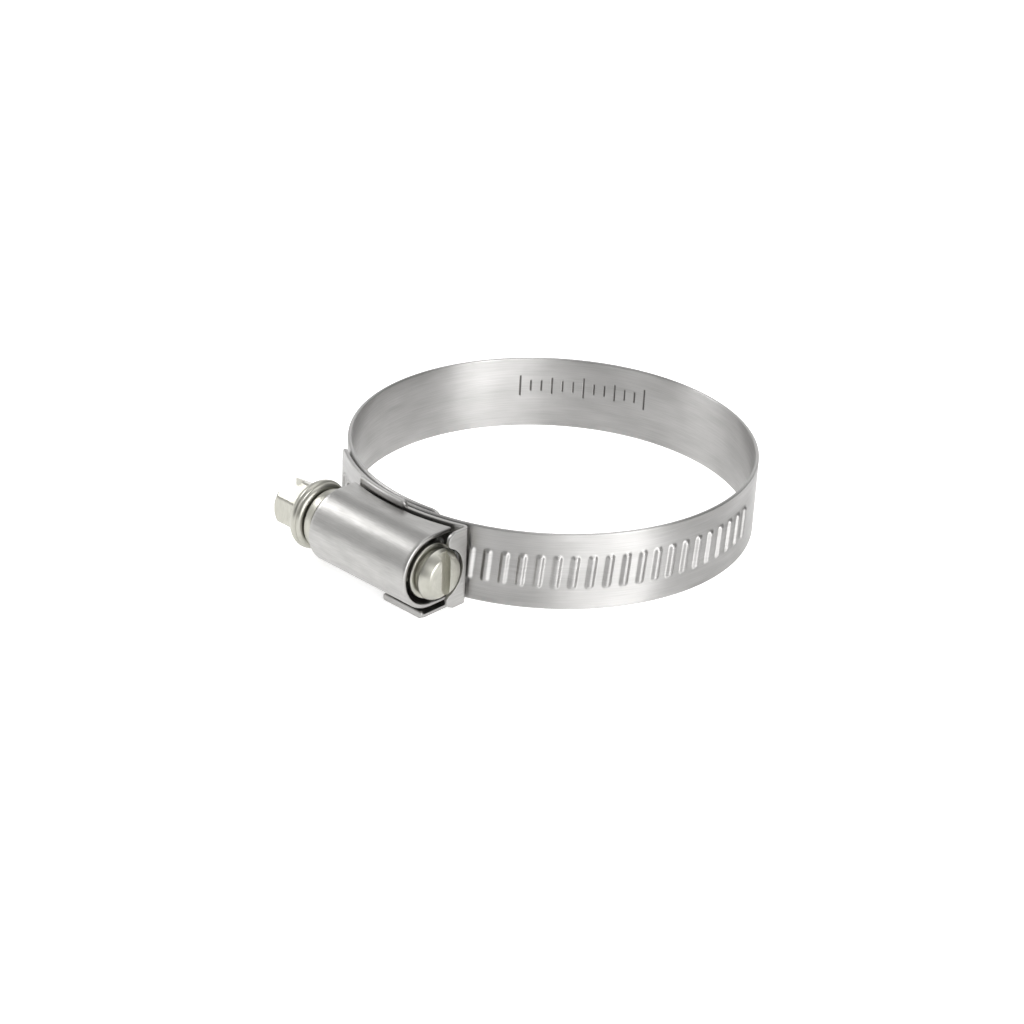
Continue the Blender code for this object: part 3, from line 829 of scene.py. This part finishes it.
# %% The screw's radius
HEAD_FLATS = 7.0
HEAD_LENGTH = 4.7
COLLAR_AT = screw_low[0] + 6.0
COLLAR_HALF = 1.2
COLLAR_RADIUS = 5.35
COLLAR_ROLL = 0.95
GROOVE_DEPTH = 0.22
GROOVE_WIDTH = 0.22
NECK_RADIUS = 3.7
WORM_FROM = -8.8
WORM_TO = 9.2
WORM_ROOT = 2.4
WORM_HEIGHT = 0.6
WORM_STEP = 0.08
# worm's crest: half its width and its flank, as shares of the pitch, and the run-out in mm
WORM_HALF_CREST = 0.33
WORM_FLANK = 0.16
WORM_RUN_OUT = 1.4
TIP = screw_high[0]


def turned_profile():
    """Stations and radii of the turned parts, as (x, radius) pairs from the collar to the tip.

    The collar is x = c + h sin a, r = R - roll (1 - cos a), less a bell-shaped groove.
    """
    left = COLLAR_AT - COLLAR_HALF
    right = COLLAR_AT + COLLAR_HALF
    roll = np.linspace(-math.pi / 2, math.pi / 2, 25)
    # collar: two soft rings with a shallow groove between them
    collar_x = COLLAR_AT + COLLAR_HALF * np.sin(roll)
    groove = GROOVE_DEPTH * np.exp(-((collar_x - (COLLAR_AT + 0.35)) / GROOVE_WIDTH) ** 2)
    collar_r = COLLAR_RADIUS - COLLAR_ROLL * (1 - np.cos(roll)) - groove
    pairs = [(left - 0.02, NECK_RADIUS - 0.1), *zip(collar_x, collar_r),
             (right + 0.05, NECK_RADIUS), (right + 0.32, NECK_RADIUS)]
    # shoulder that runs in the barrel's mouth, and the step down to the worm's root
    neck = right + 0.35
    pairs += [(neck, 4.4), (neck + 0.12, 4.58), (neck + 0.3, 4.65), (-10.45, 4.65), (-10.3, 4.5),
              (-10.25, 4.3), (-9.15, 4.3), (-9.0, 4.15), (-8.95, WORM_ROOT)]
    pairs += [(x, WORM_ROOT) for x in np.arange(WORM_FROM, WORM_TO + 0.01, WORM_STEP)]
    # stop ring at the end of the worm, a narrow groove and the start of the tip
    pairs += [(9.3, 3.9), (9.38, 4.08), (9.5, 4.2), (9.95, 4.2), (10.07, 4.12), (10.15, 3.95),
              (10.2, 3.35), (10.6, 3.35), (10.65, 3.6), (10.75, 3.72), (10.9, 3.8)]
    # domed tip: a wide soft chamfer, then a slightly crowned face
    share = np.linspace(0, 1, 8)
    pairs += zip(11.0 + 0.30 * share, 3.80 + 0.12 * np.sin(share * math.pi / 2))
    pairs += [(11.42, 3.90), (11.54, 3.82), (TIP - 0.30, 3.12), (TIP - 0.20, 3.02),
              (TIP - 0.12, 2.85), (TIP - 0.05, 2.2), (TIP, 0.9)]
    return np.array(pairs)


def hexagon(angle):
    """Hexagon's radius: half the flats / cos(angle from the nearest flat), held at the corners."""
    within = (angle + 1e-9) % (math.pi / 3) - math.pi / 6
    side = HEAD_FLATS / 2 / np.cos(within)
    return np.minimum(side, HEAD_FLATS / 2 * 1.125)


# %% The screw's surface
AROUND = 144


def screw_points():
    """Grid of the screw: Y = screw + r sin a and Z = screw + r cos a, angle 0 pointing up.

    On the worm r is the root plus a smooth crest that turns once for each pitch along X.
    """
    angle = np.linspace(0, 2 * math.pi, AROUND, endpoint=False)
    root = screw_low[0] + HEAD_LENGTH
    head_x = np.array([0.0, 0.05, 0.15, 0.3, 0.5, 0.8, 1.2, 2.0, 3.0, 4.0, HEAD_LENGTH - 0.02])
    # the corners start cut back by a cone and meet the full hexagon further in
    chamfer = HEAD_FLATS / 2 + 0.05 + head_x * 0.9
    head_r = np.minimum(hexagon(angle)[None, :], chamfer[:, None])
    pairs = turned_profile()
    radii = np.repeat(pairs[:, 1:], AROUND, 1)
    worm = (pairs[:, 0] > WORM_FROM - 0.05) & (pairs[:, 0] < WORM_TO + 0.05)
    place = pairs[worm, 0][:, None]
    phase = (place / THREAD_PITCH + angle[None, :] / (2 * math.pi)) % 1.0
    fade = np.clip(np.minimum(place - WORM_FROM, WORM_TO - place) / WORM_RUN_OUT, 0, 1)
    crest = smooth((WORM_HALF_CREST - np.abs(phase - 0.5)) / WORM_FLANK)
    radii[worm] += WORM_HEIGHT * crest * fade
    x = np.concatenate([root - HEAD_LENGTH + head_x, pairs[:, 0]])
    radius = np.concatenate([head_r, radii])
    y = SCREW_Y + radius * np.sin(angle)
    z = SCREW_Z + radius * np.cos(angle)
    points = np.stack([x[:, None] + 0 * y, y, z], -1)
    uv = np.stack(np.broadcast_arrays(angle[None, :] * 4.0, x[:, None] + radius), -1)
    return points, uv


print("screw profile:", len(turned_profile()), "stations from the collar to the tip")

# %% [markdown]
# ### The slots
#
# A saw cuts one slot across the tip and a deeper one across the head, so that the screw turns from
# either end. Their walls are flat and meet the round surface anywhere, which a grid cannot follow,
# so a box is taken out of the finished mesh. A fine bevel then breaks every sharp edge.

# %% Cut the slots and finish the screw
TIP_SLOT_DEPTH = 1.05
TIP_SLOT_HALF = 0.85
HEAD_SLOT_DEPTH = 2.4
HEAD_SLOT_HALF = 0.8
SLOT_REACH = 5.0


def cut_slot(made, low, high):
    """Take a box out of an object and keep the result as its own mesh."""
    corner = np.array(np.meshgrid(*zip(low, high), indexing="ij")).reshape(3, -1).T
    faces = [(0, 1, 3, 2), (4, 6, 7, 5), (0, 4, 5, 1), (2, 3, 7, 6), (0, 2, 6, 4), (1, 5, 7, 3)]
    cutter = make_object("slot cutter", corner, faces, PLATED, corner[:, :2])
    change = made.modifiers.new("slot", "BOOLEAN")
    change.operation = "DIFFERENCE"
    change.solver = "EXACT"
    change.object = cutter
    shown = made.evaluated_get(bpy.context.evaluated_depsgraph_get())
    fresh = bpy.data.meshes.new_from_object(shown)
    made.modifiers.clear()
    made.data = fresh
    bpy.data.objects.remove(cutter)


points, uv = screw_points()
screw = make_object("turned_screw", points, capped(*points.shape[:2]), PLATED, uv.reshape(-1, 2))
cut_slot(screw, (TIP - TIP_SLOT_DEPTH, SCREW_Y - TIP_SLOT_HALF, SCREW_Z - SLOT_REACH),
         (TIP + 1, SCREW_Y + TIP_SLOT_HALF, SCREW_Z + SLOT_REACH))
cut_slot(screw, (screw_low[0] - 1, SCREW_Y - HEAD_SLOT_HALF, SCREW_Z - SLOT_REACH),
         (screw_low[0] + HEAD_SLOT_DEPTH, SCREW_Y + HEAD_SLOT_HALF, SCREW_Z + SLOT_REACH))
screw.data.shade_smooth()
screw.data.set_sharp_from_angle(angle=math.radians(28))
soft = screw.modifiers.new("broken edges", "BEVEL")
soft.width = 0.07 * MM
soft.segments = 2
soft.limit_method = "ANGLE"
soft.angle_limit = math.radians(40)
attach(screw, "screw")
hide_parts("worm_screw")
print("screw:", len(screw.data.polygons), "faces")

# %% [markdown]
# ## The floor
#
# The clamp lies on a sheet of matt white paper that is lit from below, as on a light table, so
# almost no shadow shows. A faint glow of the paper's own does the same for one flat square.

# %% Floor
FLOOR_HALF = 900
FLOOR_GAP = 0.02
FIBRE_MM = 2.0
floor_points = np.array([[-1, -1, 0], [1, -1, 0], [1, 1, 0], [-1, 1, 0]], float) * FLOOR_HALF
floor_points[:, 2] = -CENTRE[2] - FLOOR_GAP
# paper: white and matt, with a soft fibre so slight that it only keeps the floor from looking dead
PAPER = bpy.data.materials.new("matt white paper sweep")
PAPER.use_nodes = True
paper = PAPER.node_tree.nodes["Principled BSDF"]
paper.inputs["Base Color"].default_value = linear("#f4f4f4")
paper.inputs["Roughness"].default_value = 0.9
paper.inputs["Emission Color"].default_value = linear("#ffffff")
paper.inputs["Emission Strength"].default_value = 0.62
where = add(PAPER.node_tree, "ShaderNodeTexCoord")
fibre = add(PAPER.node_tree, "ShaderNodeTexNoise",
            inputs={"Vector": where.outputs["Object"], "Scale": 1 / (FIBRE_MM * MM)})
pulp = add(PAPER.node_tree, "ShaderNodeBump",
           inputs={"Height": fibre.outputs["Fac"], "Distance": 2e-6})
PAPER.node_tree.links.new(pulp.outputs["Normal"], paper.inputs["Normal"])
floor = make_object("paper_sweep", floor_points, [(0, 1, 2, 3)], PAPER)
print("floor:", 2 * FLOOR_HALF, "mm square")

# %% [markdown]
# ## The light
#
# Polished parts are shown in a white tent: light comes from all round, softboxes shine in from above,
# and the metal's dark streaks are the gaps in the tent. Many lamps could stand for the tent's panels,
# but a world whose brightness depends only on direction needs just one table.

# %% Light
TENT_BRIGHT = 10.0
# brightness round the tent: degrees anticlockwise from +X, and level
TENT = [(-180, 0.7), (-160, 1.0), (-138, 1.2), (-124, 0.4), (-112, 0.2), (-102, 0.9), (-96, 0.9),
        (-86, 0.1), (-62, 0.1), (-46, 1.0), (-30, 4.5), (-16, 4.0), (-8, 7.0), (3, 7.0), (9, 3.0),
        (18, 0.3), (40, 0.08), (70, 0.08), (95, 0.6), (130, 1.5), (150, 0.8), (180, 0.7)]


def studio_world():
    """White tent whose wall has bright panels and darker gaps, under an even, dimmer roof."""
    world = bpy.data.worlds.new("white tent")
    world.use_nodes = True
    tree = world.node_tree
    back = tree.nodes["Background"]
    look = add(tree, "ShaderNodeTexCoord")
    parts = add(tree, "ShaderNodeSeparateXYZ", inputs={"Vector": look.outputs["Generated"]})
    round_about = add(tree, "ShaderNodeMath", {"operation": "ARCTAN2"},
                      {0: parts.outputs["Y"], 1: parts.outputs["X"]})
    share = add(tree, "ShaderNodeMapRange",
                inputs={"Value": round_about.outputs[0], "From Min": -math.pi, "From Max": math.pi})
    # a ramp holds levels up to 1, so they are divided here and the strength gives them back
    wall = add(tree, "ShaderNodeValToRGB", inputs={"Fac": share.outputs["Result"]},
               stops=[((degrees + 180) / 360, level / TENT_BRIGHT) for degrees, level in TENT])
    roof = add(tree, "ShaderNodeValToRGB", inputs={"Fac": parts.outputs["Z"]},
               stops=[(0.0, 0.0), (0.45, 0.0), (0.70, 1.0)])
    tent = add(tree, "ShaderNodeMix", {"data_type": "RGBA"},
               {"Factor": roof.outputs["Color"], "A": wall.outputs["Color"],
                "B": (0.05, 0.05, 0.05, 1)})
    tree.links.new(tent.outputs["Result"], back.inputs["Color"])
    back.inputs["Strength"].default_value = TENT_BRIGHT
    bpy.context.scene.world = world


def softbox(name, place, aim, width, height, power):
    """A rectangular lamp at a place, turned to face a point; places in mm about the ring's axis."""
    lamp = bpy.data.lights.new(name, "AREA")
    lamp.shape = "RECTANGLE"
    lamp.size = width * MM
    lamp.size_y = height * MM
    lamp.energy = power
    made = bpy.data.objects.new(name, lamp)
    bpy.context.scene.collection.objects.link(made)
    here = Vector((np.array(place) + CENTRE) * MM)
    there = Vector((np.array(aim) + CENTRE) * MM)
    turned = (there - here).to_track_quat("-Z", "Y").to_matrix().to_4x4()
    made.matrix_world = Matrix.Translation(here) @ turned


studio_world()
softbox("overhead softbox", (15, 70, 420), (0, 0, 0), 400, 320, 0.44)
softbox("left softbox", (-260, -90, 230), (0, -30, 5), 160, 70, 0.26)
print("lamps:", len(bpy.data.lights), "and a tent of", len(TENT), "levels")

# %% [markdown]
# ## The camera
#
# A small part is best seen from a little above with a long lens, which keeps its circles near to
# true ellipses. The camera is set by the direction it looks in, how far off it stands and how far
# its aim is beside and above the ring's axis, all of which are easier to judge than a place in space.

# %% Camera
ELEVATION = math.radians(26.88)
AZIMUTH = math.radians(42.19)
ROLL = math.radians(2.89)
DISTANCE = 378.3
SENSOR_WIDTH = 36.0
LENS_LENGTH = 86.090625
AIM_RIGHT = -5.52
AIM_UP = -0.81
right = np.array([math.cos(AZIMUTH), math.sin(AZIMUTH), 0.0])
ahead = np.array([-math.sin(AZIMUTH), math.cos(AZIMUTH), 0.0])
forward = ahead * math.cos(ELEVATION) - np.array([0, 0, math.sin(ELEVATION)])
up = np.cross(right, forward)
side = math.cos(ROLL) * right + math.sin(ROLL) * up
top = -math.sin(ROLL) * right + math.cos(ROLL) * up
eye = right * AIM_RIGHT + np.array([0, 0, AIM_UP]) - forward * DISTANCE
lens = bpy.data.cameras.new("catalogue camera")
lens.sensor_width = SENSOR_WIDTH
lens.lens = LENS_LENGTH
lens.clip_start = 0.01
lens.clip_end = 10.0
camera = bpy.data.objects.new("catalogue camera", lens)
bpy.context.scene.collection.objects.link(camera)
axes = np.column_stack([side, top, -forward, (eye + CENTRE) * MM])
camera.matrix_world = Matrix([*axes.tolist(), [0, 0, 0, 1]])
bpy.context.scene.camera = camera
bpy.context.scene.view_settings.view_transform = "Standard"
print("camera at", (eye + CENTRE).round(1), "mm")
